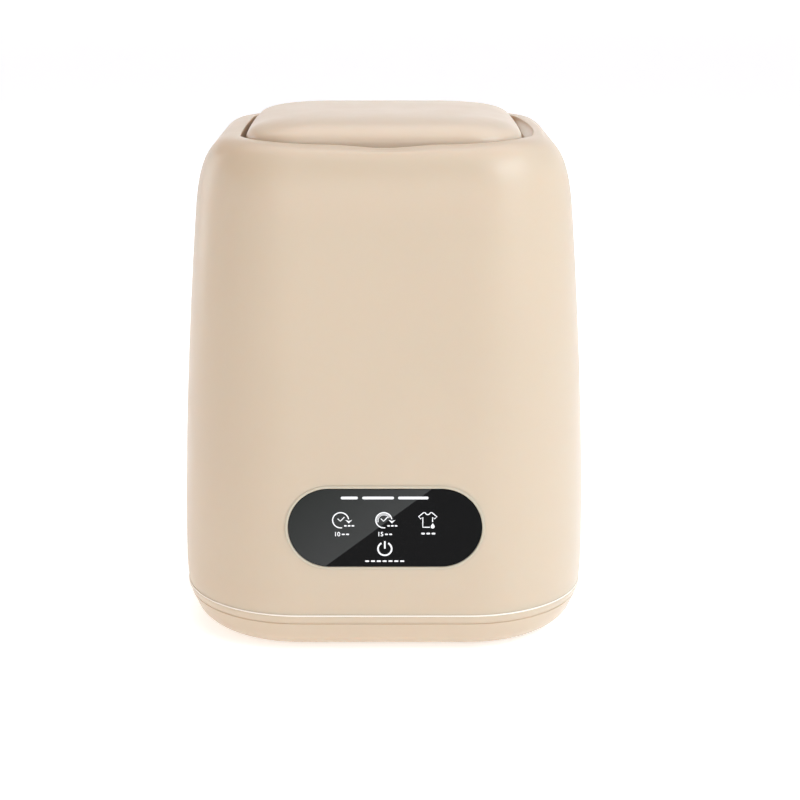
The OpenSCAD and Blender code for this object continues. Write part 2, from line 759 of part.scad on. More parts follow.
module dc_jack() color(rubber) difference() {
    union() {
        rod_y(jack_x, jack_z, jack_r, jack_floor - 16, jack_floor);
        rod_y(jack_x, jack_z, jack_r + 2.5, jack_floor, jack_floor + 1.5);
    }
    rod_y(jack_x, jack_z, 2.75, jack_floor - 8, jack_floor + 2);
}

module dc_pin() color([0.85, 0.72, 0.40]) rod_y(jack_x, jack_z, 1, jack_floor - 8, jack_floor);

module jack_nut() color(steel) difference() {
    translate([jack_x, jack_floor - wall - 4, jack_z]) rotate([-90, 0, 0]) cylinder(r = 9, h = 4, $fn = 6);
    rod_y(jack_x, jack_z, jack_r, jack_floor - wall - 5, jack_floor);
}

module driver_board() color(board_green) difference() {
    block(-42, 42, -102, -52, 9, 9 + board_t);
    for (x = [-36, 36], y = [-96, -58]) translate([x, y, 0]) disc(1.25, 8, 12);
}

module driver_parts() color([0.20, 0.24, 0.30]) {
    top = 9 + board_t;
    for (x = [-28, -16]) translate([x, -90, 0]) disc(5, top, top + 14);
    block(-30, -12, -76, -62, top, top + 13);
    block(0, 26, -94, -84, top, top + 16);
    block(-4, 10, -76, -62, top, top + 2.5);
    block(18, 30, -72, -64, top, top + 8);
}

module board_screws() color(steel) for (x = [-36, 36], y = [-96, -58]) translate([x, y, 0]) {
    disc(1.25, 5, 9 + board_t);
    disc(2.5, 9 + board_t, 12.2);
}

module panel_lens() color(black_gloss) on_panel() pill(panel_w - 0.4, panel_h - 0.4, -lens_t, 0);

module panel_holder() color([0.30, 0.30, 0.32]) on_panel() difference() {
    union() {
        pill(panel_w - 2 * panel_rim - 1.6, panel_h - 2 * panel_rim - 1.6, -board_front, -lens_t);
        pill(panel_w - 1, panel_h - 1, -board_front, -frame_back - 0.1);
    }
    at_keys() disc(4.5, -board_front - 1, 0);
}

module control_board() color(board_green) on_panel() {
    pill(panel_w - 10, panel_h - 6, -board_front - board_t, -board_front);
    block(-44, -32, -6, 6, -board_front - board_t - 2, -board_front - board_t);
    block(34, 46, -8, 0, -board_front - board_t - 6, -board_front - board_t);
}

module touch_springs() color(steel) on_panel() at_keys() tube(3.6, 3, -board_front, -lens_t);

module indicator_leds() color([0.95, 0.95, 0.85]) on_panel() at_keys()
    block(-1.5, 1.5, -1, 1, -board_front, -board_front + 1.4);

module buzzer() color([0.1, 0.1, 0.1]) on_panel() translate([-18, -10, 0])
    disc(5, -board_front - board_t - 6, -board_front - board_t);

// Leads inside the casing, each through points placed by hand
panel_route = [[24, -68, 18.8], [24, -68.5, 26], [28, -80, 42], [34, -94, 60], [39, -103, 72],
               [40, -108, 79], [40, -112.4, 82]];
motor_route = [[-21, -66, 24.1], [-21, -65, 28], [-40, -54, 34], [-64, -30, 34], [-86, 0, 44],
               [-92, 30, 60], [-88, 48, 70], [-84, 55, 75], [-79.2, 55, 75]];
power_route = [[jack_x, 109.8, 62], [-54, 106, 60], [-76, 96, 46], [-99, 72, 32], [-104, 40, 26],
               [-104, -10, 22], [-103, -44, 21], [-88, -70, 20], [-60, -80, 19], [-42, -71, 18],
               [-30.4, -70, 18]];
lid_switch_route = [[39, -recess_core_half - 6, ledge_z + 3], [39, -99.6, ledge_z + 2.4],
                    [40, -101.6, ledge_z - 2], [42, -106, 294], [44, -112, 260], [44, -114, 200],
                    [44, -114, 130], [42, -112, 105], [40, -110, 96], [39, -116.5, 91.5]];

module panel_cable() color([0.85, 0.85, 0.85]) cord(route(panel_route, 4), 1.6, 8, [1, 0, 0]);
module motor_cable() color([0.70, 0.15, 0.12]) cord(route(motor_route, 4), 1.8, 8, [0.3, -0.2, 1]);
module power_lead() color([0.12, 0.12, 0.12]) cord(route(power_route, 4), 1.8, 8, [0.1, 0.1, 1]);
module lid_switch_lead() color([0.85, 0.85, 0.85]) cord(route(lid_switch_route, 4), 1.1, 8, [1, 0, 0]);

outer_shell();
base_pan();
rubber_feet();
base_screws();
lid_cap();
lid_liner();
lid_seal();
lid_screws();
lid_magnet();
lid_switch();
hinge_brackets();
hinge_pins();
hinge_screws();
wash_tub();
tub_gasket();
tub_screws();
spin_basket();
balance_ring();
pulsator();
pulsator_screw();
pulsator_cap();
drive_shaft();
shaft_seal();
upper_bearing();
lower_bearing();
bearing_housing();
housing_bolts();
driven_pulley();
pulley_nut();
drive_belt();
motor_pulley();
motor_shaft();
motor_can();
motor_bolts();
drive_plate();
plate_bolts();
drain_valve();
drain_plunger();
plunger_seal();
drain_spring();
drain_solenoid();
drain_hose();
hose_clamps();
drain_spout();
dc_jack();
dc_pin();
jack_nut();
driver_board();
driver_parts();
board_screws();
panel_lens();
panel_holder();
control_board();
touch_springs();
indicator_leds();
buzzer();
panel_cable();
motor_cable();
power_lead();
lid_switch_lead();
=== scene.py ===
import json
import math

import bmesh
import bpy
from mathutils import Matrix, Vector


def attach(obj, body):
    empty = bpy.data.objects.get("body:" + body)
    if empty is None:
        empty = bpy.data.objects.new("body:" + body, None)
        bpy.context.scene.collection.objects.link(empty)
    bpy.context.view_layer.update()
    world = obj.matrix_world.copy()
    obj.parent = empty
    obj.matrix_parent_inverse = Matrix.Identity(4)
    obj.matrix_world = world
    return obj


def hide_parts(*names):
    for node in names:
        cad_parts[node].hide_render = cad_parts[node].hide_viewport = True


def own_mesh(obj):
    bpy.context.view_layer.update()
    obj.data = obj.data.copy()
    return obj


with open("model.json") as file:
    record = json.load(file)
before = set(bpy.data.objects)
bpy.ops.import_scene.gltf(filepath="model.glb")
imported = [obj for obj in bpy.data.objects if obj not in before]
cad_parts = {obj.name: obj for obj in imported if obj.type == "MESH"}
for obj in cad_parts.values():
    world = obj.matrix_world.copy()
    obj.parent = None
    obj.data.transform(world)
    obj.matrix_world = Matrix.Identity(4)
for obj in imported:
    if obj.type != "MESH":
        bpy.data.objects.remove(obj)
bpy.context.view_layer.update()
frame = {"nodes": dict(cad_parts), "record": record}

# A portable mini washer. The moulded casing, base pan, lid, touch panel and drain spring are modelled
# here around the CAD frame; the other nodes keep their CAD shape and get a material. Sizes of the object
# are in millimetres and are scaled by MM into metres; the camera, the stage and the lights are in metres.
MM = 0.001

# ---------------------------------------------------------------- camera

CAMERA_DISTANCE = 1.099
CAMERA_HEIGHT = 0.438
CAMERA_PITCH = math.radians(15.6)
CAMERA_LENS = 75.4
CAMERA_SHIFT = 0.02

camera = bpy.data.objects.new("camera", bpy.data.cameras.new("camera"))
camera.data.lens = CAMERA_LENS
camera.data.sensor_width = 36
camera.data.shift_x = CAMERA_SHIFT
camera.location = (0, -CAMERA_DISTANCE, CAMERA_HEIGHT)
camera.rotation_euler = (math.pi / 2 - CAMERA_PITCH, 0, 0)
bpy.context.collection.objects.link(camera)
bpy.context.scene.camera = camera
bpy.context.scene.view_settings.view_transform = "Standard"

# ------------------------------------------------------- driving dimensions

# Casing: half-width, the square core that its plan is pushed out from, and the levels of its parts
BODY_HALF = 130
CORE = 53
RIM_Z = 317
SEAM_Z = 27.5
PAN_Z = 1
WALL = 2.5

# Curves of the side wall: taper to the rim, rounding of the foot and rounding of the shoulder
TAPER_W, TAPER_EXP = 16.5, 1.6
BOTTOM_W, BOTTOM_H, BOTTOM_EXP = 33, 50.5, 3.1
SHOULDER_Z, SHOULDER_EXP = 266, 3.0

# Lid opening, its edge, the ledge under the lid and the round throat in the ledge
OPENING_HALF = 88
EDGE_R = 0.6
LEDGE_Z, LEDGE_T = 305, 3
LEDGE_FILLET = 1.4
LEDGE_HALF = 98
THROAT_R, THROAT_EDGE = 79.5, 0.6

# Bowed sides of the opening and the lid, finger scoop in front, dip of the front rim, thumb relief
SIDE_BOW, BOW_REACH = 1.8, 80
SCOOP_REACH, SCOOP_D, SCOOP_DIP = 36, 5.0, 1.5
FRONT_DIP, FRONT_REACH, FRONT_BLEND = 1.7, 84, 50
RELIEF_D, RELIEF_DIP, RELIEF_Y, RELIEF_REACH = 6.0, 1.0, -4, 66

# Where those shapes die out over the rim: half-width at which each starts to fade, and over how much
DIP_FADE, RECESS_FADE, BOW_FADE = (94, 18), (91, 11), (92, 12)
# How they set in above the ledge: height at which each starts, and over how much it grows
DIP_RISE, SCOOP_RISE, RELIEF_RISE = (6, 5), (1.5, 3), (5.5, 6)

# Base pan: groove, bead at the seam, locating lip, floor, and the holes for screws and feet
GROOVE_Z, GROOVE_D = 21.5, 0.6
SEAM_BEAD, BEAD_R = 0.75, 0.42
LIP_Z, LIP_T = 33, 1.8
PAN_FLOOR_Z, PAN_FLOOR_HALF = 4, 105
SCREW_X, SCREW_Y, SCREW_HOLE_R = 88, 38, 4.5
FOOT_XY, FOOT_R, FOOT_DEPTH = 72, 11.1, 2.5

# Lid and its hinges
LID_HALF, LID_BOTTOM, LID_SIDE_TOP, LID_TOP = 84.5, 306.5, 315, 328.5
LID_WALL = 3.0
HINGE_X, HINGE_Y, HINGE_Z = 46, 85, 318
BARREL_R = 3
NOTCH_HALF, NOTCH_Y, LUG_HALF = 12.5, 78.5, 8

# Touch panel: size, place and tilt of its face
PANEL_W, PANEL_H = 119.6, 50.5
PANEL_X, PANEL_Y, PANEL_Z = 0.6, 129.4, 85.6
PANEL_TILT = math.radians(1.35)
LENS_T = 2.2
LENS_EDGE_R = 0.75
LENS_PLAY = 0.3

# Drain pocket and power inlet in the rear wall, and a station behind it at which their cutters end
VALVE_X, VALVE_Y, OUTLET_Z = 50, 50, 76
POCKET_R, POCKET_Y, SPOUT_HOLE_R = 17, 111.5, 9
JACK_X, JACK_Z = -50, 62
JACK_R, JACK_FLOOR, JACK_HOLE_R = 9.8, 126.5, 5.8
BEHIND = 140

# Return spring of the drain plunger: its size, its turns and the heights of its two ends
SPRING_R, WIRE_R, SPRING_TURNS = 6, 0.6, 5
SPRING_LOW, SPRING_HIGH = 66, 86.5


def ease(t, e):
    return 1 - (1 - min(max(t, 0), 1) ** e) ** (1 / e)


def smooth(t):
    t = min(max(t, 0), 1)
    return t * t * (3 - 2 * t)


def casing_half(z):
    """Half-width of the casing at a height."""
    shoulder_w = BODY_HALF - TAPER_W - OPENING_HALF - EDGE_R
    return (BODY_HALF
            - TAPER_W * (max(z - BOTTOM_H, 0) / (RIM_Z - BOTTOM_H)) ** TAPER_EXP
            - BOTTOM_W * ease((BOTTOM_H - z) / (BOTTOM_H - PAN_Z), BOTTOM_EXP)
            - shoulder_w * ease((z - SHOULDER_Z) / (RIM_Z - SHOULDER_Z), SHOULDER_EXP))


# ------------------------------------------------------------- mesh helpers

# Points along each side and round each corner of a square ring
WALL_STEPS, CORNER_STEPS = 22, 26


def to_mesh(bm, name):
    """Turns a bmesh in millimetres into a mesh in metres whose faces look outwards."""
    bmesh.ops.scale(bm, vec=(MM, MM, MM), verts=bm.verts)
    bmesh.ops.recalc_face_normals(bm, faces=bm.faces)
    mesh = bpy.data.meshes.new(name)
    bm.to_mesh(mesh)
    bm.free()
    return mesh


def shade_smooth(mesh, sharp):
    """Shades a mesh smooth, apart from edges that turn by more than sharp degrees."""
    for face in mesh.polygons:
        face.use_smooth = True
    mesh.set_sharp_from_angle(angle=math.radians(sharp))


def place(mesh, name, material, body, sharp=40):
    """Makes a mesh a smooth-shaded piece that rides on a body."""
    shade_smooth(mesh, sharp)
    piece = bpy.data.objects.new(name, mesh)
    bpy.context.collection.objects.link(piece)
    mesh.materials.clear()
    mesh.materials.append(material)
    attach(piece, body)
    return piece


def finish_mesh(bm, name, material, body, sharp=40):
    return place(to_mesh(bm, name), name, material, body, sharp)


def square_ring(half, core, z):
    """Points round a square of half-side core pushed out to half, at height z."""
    points = []
    r = half - core
    for k in range(4):
        turn = Matrix.Rotation(k * math.pi / 2, 3, "Z")
        for i in range(WALL_STEPS):
            points.append(turn @ Vector((half, core * (2 * i / WALL_STEPS - 1), z)))
        for i in range(CORNER_STEPS):
            a = i / CORNER_STEPS * math.pi / 2
            points.append(turn @ Vector((core + r * math.cos(a), core + r * math.sin(a), z)))
    return points


def round_ring(radius, z):
    """Circle whose points face those of the lid opening's ring."""
    return [Vector((p.x, p.y, 0)).normalized() * radius + Vector((0, 0, z))
            for p in square_ring(OPENING_HALF, CORE, 0)]


def loft(bm, rings, loop=False, cap_first=False, cap_last=False):
    """Skins a list of rings, which may close on itself or end in caps."""
    rows = [[bm.verts.new(p) for p in ring] for ring in rings]
    following = rows[1:] + (rows[:1] if loop else [])
    for a, b in zip(rows, following):
        for i in range(len(a)):
            j = (i + 1) % len(a)
            bm.faces.new((a[i], a[j], b[j], b[i]))
    for wanted, row in ((cap_first, rows[0]), (cap_last, rows[-1])):
        if wanted:
            middle = sum((v.co for v in row), Vector()) / len(row)
            hub = bm.verts.new(middle)
            for i in range(len(row)):
                bm.faces.new((row[i], row[(i + 1) % len(row)], hub))


def circle_points(steps):
    """Cosine and sine of evenly spaced angles round a circle."""
    return [(math.cos(2 * math.pi * i / steps), math.sin(2 * math.pi * i / steps)) for i in range(steps)]


def cut(piece, *cutters):
    """Subtracts closed bmeshes in millimetres from a piece."""
    for bm in cutters:
        tool = bpy.data.objects.new("cutter", to_mesh(bm, "cutter"))
        bpy.context.collection.objects.link(tool)
        step = piece.modifiers.new("cut", "BOOLEAN")
        step.operation = "DIFFERENCE"
        step.solver = "EXACT"
        step.object = tool
        bpy.context.view_layer.update()
        seen = piece.evaluated_get(bpy.context.evaluated_depsgraph_get())
        result = bpy.data.meshes.new_from_object(seen)
        piece.modifiers.remove(step)
        piece.data = result
        bpy.data.objects.remove(tool)
    shade_smooth(piece.data, 35)


def cylinder_bm(radius, low, high, axis="Z", at=(0, 0), steps=64):
    """Closed cylinder between two stations on an axis; at is its place across that axis."""
    bm = bmesh.new()
    outline = [(at[0] + radius * c, at[1] + radius * s) for c, s in circle_points(steps)]
    rings = []
    for station in (low, high):
        rings.append([Vector((u, v, station)) if axis == "Z" else Vector((u, station, v))
                      for u, v in outline])
    loft(bm, rings, cap_first=True, cap_last=True)
    return bm


def box_bm(low, high):
    """Closed box between two corners."""
    bm = bmesh.new()
    bmesh.ops.create_cube(bm, size=1)
    size = Vector(high) - Vector(low)
    middle = (Vector(high) + Vector(low)) / 2
    for v in bm.verts:
        v.co = Vector((v.co.x * size.x, v.co.y * size.y, v.co.z * size.z)) + middle
    return bm


# ---------------------------------------------------------------- materials

def node_tree(name):
    """New material with its nodes, links and shader."""
    material = bpy.data.materials.new(name)
    material.use_nodes = True
    nodes = material.node_tree.nodes
    return material, nodes, material.node_tree.links, nodes["Principled BSDF"]


def add(nodes, kind, **values):
    """New node of a kind, with its properties set."""
    made = nodes.new(kind)
    for key, value in values.items():
        setattr(made, key, value)
    return made


def noise_texture(nodes, links, coords, scale, detail=2.0, roughness=0.5):
    texture = add(nodes, "ShaderNodeTexNoise")
    texture.inputs["Scale"].default_value = scale
    texture.inputs["Detail"].default_value = detail
    texture.inputs["Roughness"].default_value = roughness
    links.new(coords.outputs["Object"], texture.inputs["Vector"])
    return texture


def ramp(nodes, links, source, low, high, low_at=0.3, high_at=0.7):
    """Colour ramp between two values or colours driven by a source socket."""
    made = add(nodes, "ShaderNodeValToRGB")
    for element, value, place_at in zip(made.color_ramp.elements, (low, high), (low_at, high_at)):
        colour = (value, value, value) if isinstance(value, (int, float)) else value
        element.color = (*colour, 1)
        element.position = place_at
    links.new(source, made.inputs["Fac"])
    return made.outputs["Color"]


def remap(nodes, links, source, low, high):
    """Value of a source socket, mapped from low and high to 0 and 1."""
    made = add(nodes, "ShaderNodeMapRange")
    made.inputs["From Min"].default_value = low
    made.inputs["From Max"].default_value = high
    links.new(source, made.inputs["Value"])
    return made.outputs["Result"]


def bump_from(nodes, links, shader, source, strength, distance):
    """Bumps the shader's surface by a source socket."""
    made = add(nodes, "ShaderNodeBump")
    made.inputs["Strength"].default_value = strength
    made.inputs["Distance"].default_value = distance
    links.new(source, made.inputs["Height"])
    links.new(made.outputs["Normal"], shader.inputs["Normal"])


def moulded_plastic(name, colour, rough=(0.34, 0.42), shade=0.035, grain=2600, bump=0.06,
                    coat=0.0, subsurface=0.0):
    """Moulded plastic: faint cloudy colour, spark-eroded grain and uneven gloss."""
    material, nodes, links, shader = node_tree(name)
    coords = add(nodes, "ShaderNodeTexCoord")
    cloud = noise_texture(nodes, links, coords, 9, 3.0)
    dark = tuple(c * (1 - shade) for c in colour)
    tint = ramp(nodes, links, cloud.outputs["Fac"], dark, colour)
    links.new(tint, shader.inputs["Base Color"])
    patch = noise_texture(nodes, links, coords, 34, 4.0, 0.6)
    links.new(ramp(nodes, links, patch.outputs["Fac"], rough[0], rough[1]), shader.inputs["Roughness"])
    grains = noise_texture(nodes, links, coords, grain, 2.0, 0.55)
    bump_from(nodes, links, shader, grains.outputs["Fac"], bump, 0.00012)
    shader.inputs["IOR"].default_value = 1.47
    shader.inputs["Coat Weight"].default_value = coat
    shader.inputs["Coat Roughness"].default_value = 0.12
    shader.inputs["Subsurface Weight"].default_value = subsurface
    shader.inputs["Subsurface Radius"].default_value = (0.012, 0.006, 0.004)
    shader.inputs["Subsurface Scale"].default_value = 1.0
    return material


def metal(name, colour, rough=(0.22, 0.4), brushed=(1, 1, 1), scale=420, bump=0.12):
    """Metal with fine marks, drawn out along the axis whose scale is small."""
    material, nodes, links, shader = node_tree(name)
    coords = add(nodes, "ShaderNodeTexCoord")
    mapping = add(nodes, "ShaderNodeMapping")
    mapping.inputs["Scale"].default_value = brushed
    links.new(coords.outputs["Object"], mapping.inputs["Vector"])
    marks = add(nodes, "ShaderNodeTexNoise")
    marks.inputs["Scale"].default_value = scale
    marks.inputs["Detail"].default_value = 4
    links.new(mapping.outputs["Vector"], marks.inputs["Vector"])
    dark = tuple(c * 0.82 for c in colour)
    links.new(ramp(nodes, links, marks.outputs["Fac"], dark, colour), shader.inputs["Base Color"])
    links.new(ramp(nodes, links, marks.outputs["Fac"], rough[0], rough[1]), shader.inputs["Roughness"])
    bump_from(nodes, links, shader, marks.outputs["Fac"], bump, 0.0001)
    shader.inputs["Metallic"].default_value = 1
    return material


def rubber(name, colour):
    """Soft moulded rubber with a dusty, pitted surface."""
    material, nodes, links, shader = node_tree(name)
    coords = add(nodes, "ShaderNodeTexCoord")
    dust = noise_texture(nodes, links, coords, 60, 5.0, 0.65)
    pale = tuple(min(1, c * 1.5 + 0.01) for c in colour)
    dusty = ramp(nodes, links, dust.outputs["Fac"], colour, pale, 0.35, 0.8)
    links.new(dusty, shader.inputs["Base Color"])
    links.new(ramp(nodes, links, dust.outputs["Fac"], 0.62, 0.8), shader.inputs["Roughness"])
    pits = noise_texture(nodes, links, coords, 1800, 2.0)
    bump_from(nodes, links, shader, pits.outputs["Fac"], 0.2, 0.0001)
    return material


def board(name):
    """Printed circuit board: solder mask with copper tracks under it."""
    material, nodes, links, shader = node_tree(name)
    coords = add(nodes, "ShaderNodeTexCoord")
    tracks = add(nodes, "ShaderNodeTexBrick")
    tracks.inputs["Scale"].default_value = 130
    tracks.inputs["Mortar Size"].default_value = 0.06
    tracks.inputs["Color1"].default_value = (0.012, 0.075, 0.035, 1)
    tracks.inputs["Color2"].default_value = (0.010, 0.060, 0.030, 1)
    tracks.inputs["Mortar"].default_value = (0.03, 0.16, 0.06, 1)
    links.new(coords.outputs["Object"], tracks.inputs["Vector"])
    links.new(tracks.outputs["Color"], shader.inputs["Base Color"])
    links.new(ramp(nodes, links, tracks.outputs["Fac"], 0.25, 0.4), shader.inputs["Roughness"])
    bump_from(nodes, links, shader, tracks.outputs["Fac"], 0.2, 0.0001)
    return material


def lens_material(name):
    """Black back-printed glass whose colour holds a painted reflection: a lighter field above a slanting
    edge.
    """
    material, nodes, links, shader = node_tree(name)
    coords = add(nodes, "ShaderNodeTexCoord")
    low_end = Vector((-36.7, PANEL_Z - 25.1)) * MM
    high_end = Vector((29.1, PANEL_Z + 25.0)) * MM
    along = (high_end - low_end).normalized()
    across = Vector((-along.y, along.x))
    offset = low_end.dot(across)
    split = add(nodes, "ShaderNodeSeparateXYZ")
    links.new(coords.outputs["Object"], split.inputs["Vector"])
    across_x = add(nodes, "ShaderNodeMath", operation="MULTIPLY")
    across_x.inputs[1].default_value = across.x
    links.new(split.outputs["X"], across_x.inputs[0])
    across_z = add(nodes, "ShaderNodeMath", operation="MULTIPLY_ADD")
    across_z.inputs[1].default_value = across.y
    links.new(split.outputs["Z"], across_z.inputs[0])
    links.new(across_x.outputs[0], across_z.inputs[2])
    place_across = across_z.outputs[0]
    # Painted reflection: above the slanting edge the glass is painted lighter, most at the edge, fading
    # over 60 mm.
    edge = remap(nodes, links, place_across, offset - 0.25 * MM, offset + 0.25 * MM)
    fade = remap(nodes, links, place_across, offset, offset + 60 * MM)
    painted_reflection = ramp(nodes, links, fade, (0.039, 0.040, 0.039), (0.014, 0.016, 0.014), 0, 1)
    # Below the edge the black gets a little darker towards the right.
    right = remap(nodes, links, split.outputs["X"], 20 * MM, 60 * MM)
    deep = ramp(nodes, links, right, (0.0020, 0.0020, 0.0021), (0.0016, 0.0016, 0.0016), 0, 1)
    mix = add(nodes, "ShaderNodeMix", data_type="RGBA")
    links.new(edge, mix.inputs["Factor"])
    first_colour, second_colour, mixed_colour = mix.inputs[6], mix.inputs[7], mix.outputs[2]
    links.new(deep, first_colour)
    links.new(painted_reflection, second_colour)
    links.new(mixed_colour, shader.inputs["Base Color"])
    haze = noise_texture(nodes, links, coords, 120, 3.0)
    links.new(ramp(nodes, links, haze.outputs["Fac"], 0.05, 0.09), shader.inputs["Roughness"])
    shader.inputs["IOR"].default_value = 1.45
    shader.inputs["Specular IOR Level"].default_value = 0.1
    return material


def ink(name, colour):
    """Screen-printed ink with a faint mesh texture."""
    material, nodes, links, shader = node_tree(name)
    coords = add(nodes, "ShaderNodeTexCoord")
    speckle = noise_texture(nodes, links, coords, 3000, 2.0)
    dim = tuple(c * 0.9 for c in colour)
    links.new(ramp(nodes, links, speckle.outputs["Fac"], dim, colour), shader.inputs["Base Color"])
    links.new(ramp(nodes, links, speckle.outputs["Fac"], 0.4, 0.5), shader.inputs["Roughness"])
    return material


SHELL_FINISH = {"rough": (0.29, 0.37), "shade": 0.02, "subsurface": 0.35}
CASING = moulded_plastic("casing_plastic", (0.54, 0.428, 0.315), **SHELL_FINISH)
# The lid is the casing's plastic made a little paler: painted light that brightens the lid where it sits in
# shade by the rim.
LID_PAINTED_PALER = moulded_plastic("lid_plastic_painted_paler", (0.565, 0.454, 0.343), **SHELL_FINISH)
# Pale plastic of the seam bead: a painted highlight where the seam's edge catches the light.
SEAM_HIGHLIGHT = moulded_plastic("seam_painted_highlight", (0.90, 0.83, 0.74), rough=(0.28, 0.36), shade=0.02)
INNER = moulded_plastic("inner_plastic", (0.80, 0.79, 0.75), rough=(0.28, 0.40), grain=1500)
TUB = moulded_plastic("tub_plastic", (0.74, 0.75, 0.74), rough=(0.30, 0.44), grain=1200)
PULSATOR = moulded_plastic("pulsator_plastic", (0.30, 0.42, 0.50), rough=(0.28, 0.36))
RING = moulded_plastic("ring_plastic", (0.62, 0.72, 0.76), rough=(0.28, 0.34), coat=0.2)
BLACK = moulded_plastic("black_plastic", (0.022, 0.022, 0.025), rough=(0.35, 0.5), shade=0.2)
VALVE = moulded_plastic("valve_plastic", (0.66, 0.66, 0.63), rough=(0.38, 0.5))
HOSE = moulded_plastic("hose_plastic", (0.27, 0.27, 0.29), rough=(0.4, 0.55), shade=0.12)
LEAD = moulded_plastic("lead_jacket", (0.52, 0.50, 0.47), rough=(0.38, 0.5), shade=0.1)
LED = moulded_plastic("led_resin", (0.85, 0.85, 0.70), rough=(0.12, 0.2), coat=0.5)
RUBBER = rubber("rubber_grey", (0.022, 0.022, 0.024))
SEAL = rubber("seal_grey", (0.16, 0.155, 0.15))
ZINC = metal("zinc_steel", (0.66, 0.67, 0.69), (0.28, 0.46), scale=700)
GROUND = metal("ground_steel", (0.72, 0.72, 0.73), (0.16, 0.3), brushed=(1, 1, 30), scale=300)
ALLOY = metal("cast_alloy", (0.52, 0.53, 0.55), (0.45, 0.62), scale=900, bump=0.35)
MOTOR = metal("motor_steel", (0.40, 0.41, 0.43), (0.3, 0.42), brushed=(1, 1, 18), scale=260)
BRASS = metal("contact_brass", (0.80, 0.62, 0.30), (0.2, 0.34))
BOARD = board("board_laminate")
# The panel's glass carries a painted reflection in its colour.
LENS = lens_material("panel_gloss")
INK = ink("panel_ink", (0.86, 0.86, 0.86))

SLOT_MATERIALS = {
    "casing_plastic": CASING, "inner_plastic": INNER, "rubber_grey": RUBBER, "zinc_steel": ZINC,
    "ground_steel": GROUND, "pulsator_plastic": PULSATOR, "ring_plastic": RING, "cast_alloy": ALLOY,
    "black_plastic": BLACK, "motor_steel": MOTOR, "valve_plastic": VALVE, "hose_plastic": HOSE,
    "contact_brass": BRASS, "board_laminate": BOARD, "panel_gloss": LENS, "led_resin": LED,
    "lead_jacket": LEAD,
}
NODE_MATERIALS = {"wash_tub": TUB, "lid_seal": SEAL, "tub_gasket": SEAL, "plunger_seal": SEAL}


def dress_cad_nodes():
    """Every CAD node that stays visible gets the material of its slot."""
    slots = {row["node"]: row["material_slot"] for row in frame["record"]["subparts"]}
    for name, obj in frame["nodes"].items():
        material = NODE_MATERIALS.get(name, SLOT_MATERIALS[slots[name]])
        if not obj.material_slots:
            obj.data.materials.append(material)
        for slot in obj.material_slots:
            slot.material = material


# ------------------------------------------------------------ moulded pieces

def bowed(p, amount=SIDE_BOW):
    """Bows a point on the left or right side outwards, most in the middle of the side."""
    if abs(p.x) > abs(p.y):
        p.x += math.copysign(amount * (1 - min(abs(p.y) / BOW_REACH, 1) ** 2), p.x)
    return p


def fade_in(value, start, span):
    """Rises smoothly from 0 at start to 1 a span further on."""
    return smooth((value - start) / span)


def rim_relief(p):
    """Moves a rim point for the finger scoop, the front dip, the thumb relief and the bowed sides."""
    half = max(abs(p.x), abs(p.y))
    dip = (1 - fade_in(half, *DIP_FADE)) * fade_in(p.z - LEDGE_Z, *DIP_RISE)
    recess = 1 - fade_in(half, *RECESS_FADE)
    if p.y < -CORE:
        scoop = smooth((SCOOP_REACH - abs(p.x)) / SCOOP_REACH)
        front = smooth((FRONT_REACH - abs(p.x)) / FRONT_BLEND)
        p.y -= SCOOP_D * scoop * recess * fade_in(p.z - LEDGE_Z, *SCOOP_RISE)
        p.z -= (SCOOP_DIP * scoop + FRONT_DIP * front) * dip
    if p.x > CORE:
        relief = max(1 - ((p.y - RELIEF_Y) / RELIEF_REACH) ** 2, 0)
        p.x += RELIEF_D * relief * recess * fade_in(p.z - LEDGE_Z, *RELIEF_RISE)
        p.z -= RELIEF_DIP * relief * dip
    if p.z > LEDGE_Z - 1:
        bowed(p, SIDE_BOW * (1 - fade_in(half, *BOW_FADE)))
    return p


